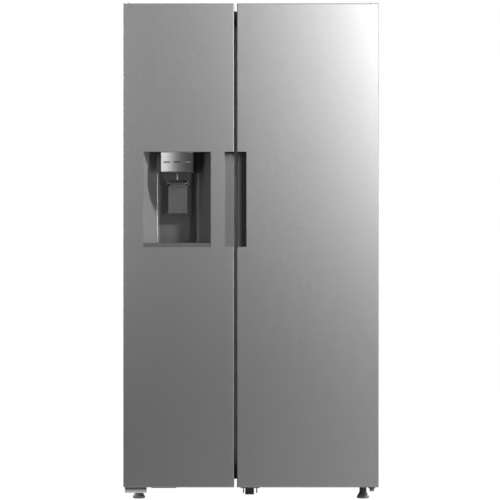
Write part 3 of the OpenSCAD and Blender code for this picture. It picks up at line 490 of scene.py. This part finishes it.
def make_drawer(node):
    """Drawer tub with a pull ledge below the rim of its front."""
    ledge_inset = 30 * MM
    end_inset = 20 * MM
    lo, hi = low(node), high(node)
    front = front_wall_y(node)
    work = bmesh.new()
    tub(work, (lo.x, front, lo.z), hi, BIN_WALL, radius=12 * MM)
    bar(work, (lo.x + ledge_inset, lo.y, hi.z - 22 * MM),
        (hi.x - ledge_inset, front + 3 * MM, hi.z - 16 * MM), 4 * MM)
    floor_ribs(work, (lo.x, hi.x), (front + end_inset, hi.y - end_inset),
               (lo.z + 1 * MM, lo.z + BIN_WALL + 3 * MM), (0.25, 0.75), 3 * MM, 2 * MM)
    return smooth_piece(node + "_tub", work, CLEAR_BIN, node)


# ---------------------------------------------------------------- seals and feet
SEAL_WIDTH = 18 * MM
# Bellows section of a seal: shares of its width and of its depth
SEAL_SECTION = (
    (0.06, 0.0), (0.94, 0.0), (0.97, 0.12), (0.80, 0.28), (0.93, 0.45), (0.99, 0.62), (1.0, 0.9),
    (0.95, 1.0), (0.55, 1.0), (0.5, 0.96), (0.45, 1.0), (0.05, 1.0), (0.0, 0.9), (0.01, 0.62),
    (0.07, 0.45), (0.20, 0.28), (0.03, 0.12))

# Foot, in mm: base as inset from its radius and height, then the spanner flats as radius and height
FOOT_BASE = ((3, 0), (1, 0.2), (0, 1), (0, 6.6), (0.5, 8), (1.5, 9.6), (3.6, 12.6), (5.4, 15.4), (6.8, 20),
             (9.2, 20.6))
FOOT_GRIP = (1 * MM, 6.6 * MM)
FOOT_FLATS = ((12.4, 20.2), (13, 21.4), (13, 48.6), (12.4, 50))
THREAD_START = 49.5 * MM
THREAD_PITCH = 1.2 * MM
THREAD_RADIUS = 5.0 * MM
THREAD_DEPTH = 0.5 * MM


def make_gasket(node):
    """Magnetic seal: a bellows section swept round the door with mitred corners."""
    lo, hi = low(node), high(node)
    depth = hi.y - lo.y
    work = bmesh.new()
    rings = []
    for right, top in ((False, False), (True, False), (True, True), (False, True)):
        ring = []
        for across, deep in SEAL_SECTION:
            inset = across * SEAL_WIDTH
            x = hi.x - inset if right else lo.x + inset
            z = hi.z - inset if top else lo.z + inset
            ring.append(work.verts.new((x, lo.y + deep * depth, z)))
        rings.append(ring)
    bridge(work, rings + [rings[0]], capped=False)
    return smooth_piece(node + "_bellows", work, GASKET, node, 50)


def make_foot(node):
    """Levelling foot: ribbed base, waisted neck, spanner flats and a threaded stem."""
    lo, hi = low(node), high(node)
    radius = (hi.x - lo.x) / 2
    centre = ((lo.x + hi.x) / 2, (lo.y + hi.y) / 2, lo.z)
    top = hi.z - lo.z
    work = bmesh.new()
    lathe(work, centre, [(radius - inset * MM, z * MM) for inset, z in FOOT_BASE], 96, 0.7 * MM, FOOT_GRIP)
    lathe(work, centre, [(flat * MM, z * MM) for flat, z in FOOT_FLATS], 6)
    # The thread is a stack of shallow ridges
    thread = []
    z = THREAD_START
    while z < top - THREAD_PITCH:
        thread += [(THREAD_RADIUS - THREAD_DEPTH, z), (THREAD_RADIUS, z + THREAD_PITCH / 2)]
        z += THREAD_PITCH
    thread.append((THREAD_RADIUS - 0.8 * MM, top))
    lathe(work, centre, thread, 32)
    return smooth_piece(node + "_turned", work, FOOT, node, 30)


# ---------------------------------------------------------------- dispenser
# How far a normal turns sideways on the rounded corners of the cavity, and on its side walls, which get a
# lighter plastic than the back wall as painted light
CORNER_TURN = 0.1
SIDE_TURN = 0.8


def make_dispenser():
    """Rounds the dispenser's pieces; the head and the housing are handed back for their own lights."""
    housing = refined("dispenser_housing", 0.8 * MM)
    two_tone(housing, CAVITY_CORNER, CORNER_TURN)
    # The side walls are drawn lighter than the back wall: painted light
    two_tone(housing, CAVITY_SIDE_PAINTED_LIGHT, SIDE_TURN)
    head = refined("dispenser_head", 2.2 * MM, 3)
    refined("dispenser_paddle", 1.3 * MM, 3)
    refined("dispenser_spouts", 0.6 * MM)
    refined("drip_tray", 0.7 * MM)
    return head, housing


# ---------------------------------------------------------------- build
# Edge rounding of each plainly refined node, in mm
BEVELS = {
    "freezer_skin": 0.35, "fridge_skin": 0.35, "freezer_handle": 0.9, "fridge_handle": 0.9,
    "freezer_end_caps": 0.8, "fridge_end_caps": 0.8, "outer_case": 0.5, "rear_panel": 0.4,
    "front_mullion": 0.4, "top_hinges": 0.8, "hinge_covers": 1.8, "bottom_hinges": 0.9,
    "hinge_screws": 0.4, "compressor": 1.2, "fan_shroud": 0.5, "drain_pan": 0.9,
    "machine_cover": 0.6, "water_valve": 0.9, "power_inlet": 0.6, "evaporator_cover": 1.2,
    "air_duct": 1.2, "glass_shelves": 0.8, "shelf_frames": 1.2, "ice_maker": 1.2, "lamps": 1.5,
    "roller_brackets": 0.6, "freezer_door_liner": 1.0, "freezer_bin_frame": 2.0, "fridge_door_liner": 2.0,
    "freezer_liner": 1.0, "fridge_liner": 1.0, "ice_bucket": 1.4, "dairy_lid": 0.9,
    "condenser_fan": 0.4, "evaporator_fan": 0.4, "rear_roller_left": 0.8, "rear_roller_right": 0.8,
    "base_pan": 0.4, "condenser": 0.3, "evaporator": 0.15,
}
# How far a normal turns sideways on the folded edges of the door skins, which get a darker copy of the
# steel as painted shade
EDGE_TURN = 0.08

refined_pieces = {node: refined(node, bevel * MM) for node, bevel in BEVELS.items()}
# The folded edges of the skins get the darker steel: painted shade
for skin in ("freezer_skin", "fridge_skin"):
    two_tone(refined_pieces[skin], SHADED_EDGE_STEEL, EDGE_TURN)
HEAD, HOUSING = make_dispenser()
make_bins("freezer_bins", "freezer_bin_tubs", FREEZER_BIN_COUNT)
make_bins("fridge_bins", "fridge_bin_tubs", FRIDGE_BIN_COUNT)
for drawer in ("freezer_drawer_upper", "freezer_drawer_lower", "crisper_upper", "crisper_lower"):
    make_drawer(drawer)
for seal in ("freezer_gasket", "fridge_gasket"):
    make_gasket(seal)
for foot in ("foot_left", "foot_right"):
    make_foot(foot)


# ---------------------------------------------------------------- camera
# The front of the doors is drawn at this many metres to a unit of the picture's 500 by 500
FRONT_SCALE = 0.003555
PICTURE_SIDE = 500
EYE_DISTANCE = 7.0
EYE_X = -0.0034
EYE_Z = 0.896
SENSOR = 36.0


def make_camera():
    """Looks square at the door fronts from eye height."""
    data = bpy.data.cameras.new("camera")
    data.sensor_width = SENSOR
    data.lens = SENSOR * EYE_DISTANCE / (FRONT_SCALE * PICTURE_SIDE)
    camera = bpy.data.objects.new("camera", data)
    bpy.context.scene.collection.objects.link(camera)
    camera.location = (EYE_X, low("fridge_skin").y - EYE_DISTANCE, EYE_Z)
    camera.rotation_euler = (math.radians(90), 0, 0)
    bpy.context.scene.camera = camera


# ---------------------------------------------------------------- floor and sky
FLOOR_SIZE = 12.0
FLOOR_GLOW = 1.0
SKY_LIGHT = 0.12
# Heights of the direction, from level to straight up, between which the overhead light comes on
SKY_FADE = (0.30, 0.95)
WHITE = (1, 1, 1, 1)


def seen_or_not(tree, seen, unseen):
    """A value that is one thing to the camera and another to the light that falls on the object."""
    path = tree.nodes.new("ShaderNodeLightPath")
    mix = tree.nodes.new("ShaderNodeMapRange")
    mix.inputs["To Min"].default_value = unseen
    mix.inputs["To Max"].default_value = seen
    tree.links.new(path.outputs["Is Camera Ray"], mix.inputs["Value"])
    return mix


def overhead(tree):
    """Soft light that comes from above only, fading out towards the horizon."""
    place = tree.nodes.new("ShaderNodeTexCoord")
    split = tree.nodes.new("ShaderNodeSeparateXYZ")
    tree.links.new(place.outputs["Generated"], split.inputs["Vector"])
    fade = tree.nodes.new("ShaderNodeMapRange")
    fade.interpolation_type = "SMOOTHSTEP"
    fade.inputs["From Min"].default_value, fade.inputs["From Max"].default_value = SKY_FADE
    fade.inputs["To Max"].default_value = SKY_LIGHT
    tree.links.new(split.outputs["Z"], fade.inputs["Value"])
    return fade


def make_floor():
    """Plain floor that looks pale, but throws little light back on the doors."""
    work = bmesh.new()
    bmesh.ops.create_grid(work, x_segments=8, y_segments=8, size=FLOOR_SIZE)
    mesh = bpy.data.meshes.new("floor")
    work.to_mesh(mesh)
    work.free()
    pale = Look("pale_floor", (0.03, 0.03, 0.03), 0.7)
    pale.vary_roughness(pale.noise(3), 0.62, 0.75)
    pale.set("Emission Color", WHITE)
    glow = seen_or_not(pale.tree, FLOOR_GLOW, 0.0)
    pale.tree.links.new(glow.outputs["Result"], pale.shader.inputs["Emission Strength"])
    mesh.materials.append(pale.mat)
    floor = bpy.data.objects.new("floor", mesh)
    bpy.context.scene.collection.objects.link(floor)


def make_sky():
    """White surroundings to the camera, and a soft overhead light to the object."""
    world = bpy.data.worlds.new("studio")
    world.use_nodes = True
    tree = world.node_tree
    sky = tree.nodes["Background"]
    sky.inputs["Color"].default_value = WHITE
    seen = seen_or_not(tree, 1.0, 0.0)
    tree.links.new(overhead(tree).outputs["Result"], seen.inputs["To Min"])
    tree.links.new(seen.outputs["Result"], sky.inputs["Strength"])
    bpy.context.scene.world = world
    bpy.context.scene.view_settings.view_transform = "Standard"


# ---------------------------------------------------------------- lights
GAP_X = (high("freezer_skin").x + low("fridge_skin").x) / 2
# Each light: its place, the point it is aimed at, its width and height, and its watts
LIGHTS = {
    "key": ((2.35, -4.3, 3.15), (0.1, -0.4, 1.45), (1.2, 3.4), 412),
    "fill": ((-1.25, -1.9, 1.35), (-0.4, -0.4, 1.0), (0.7, 2.0), 6),
    "head_left": ((-2.3, -2.9, 1.9), (-0.26, -0.42, 1.2), (1.5, 1.2), 16),
    "cavity_high": ((2.3, -2.3, 3.9), (-0.26, -0.38, 1.15), (0.35, 0.35), 170),
    "corner_strip": ((1.7, -2.65, 0.8), (-0.35, -0.3, 0.9), (0.12, 1.2), 24),
    "gap_front": ((GAP_X, -4.6, 0.95), (GAP_X, -0.3, 0.95), (0.1, 1.6), 14),
    "back_left": ((-2.6, 3.4, 2.6), (0, 0.4, 0.9), (1.6, 1.6), 110),
    "back_right": ((2.8, 3.0, 1.6), (0, 0.4, 0.9), (1.6, 1.6), 90),
    "side_left": ((-4.0, 0.4, 1.8), (-0.4, 0.1, 0.9), (1.4, 1.8), 70),
}
# Lights that fall on the named pieces only
OWN_LIGHTS = {
    "head_left": HEAD, "cavity_high": HOUSING, "corner_strip": HOUSING,
    "gap_front": refined_pieces["front_mullion"],
}


def area_light(name, place, aim, size, power):
    """Rectangular light at a place, turned towards its aim."""
    data = bpy.data.lights.new(name, "AREA")
    data.shape = "RECTANGLE"
    data.size, data.size_y = size
    data.energy = power
    light = bpy.data.objects.new(name, data)
    bpy.context.scene.collection.objects.link(light)
    light.location = place
    light.rotation_euler = (Vector(aim) - Vector(place)).to_track_quat("-Z", "Y").to_euler()
    return light


def link_light(light, objects, state):
    """Keeps a light off the given objects, or lets it fall on them only."""
    linked = bpy.data.collections.new(light.name + "_links")
    for obj in objects:
        linked.objects.link(obj)
    light.light_linking.receiver_collection = linked
    for entry in linked.collection_objects:
        entry.light_linking.link_state = state


make_camera()
make_floor()
make_sky()
lights = {name: area_light(name, *values) for name, values in LIGHTS.items()}
link_light(lights["key"], [HEAD, HOUSING], "EXCLUDE")
for light_name, lit in OWN_LIGHTS.items():
    link_light(lights[light_name], [lit], "INCLUDE")
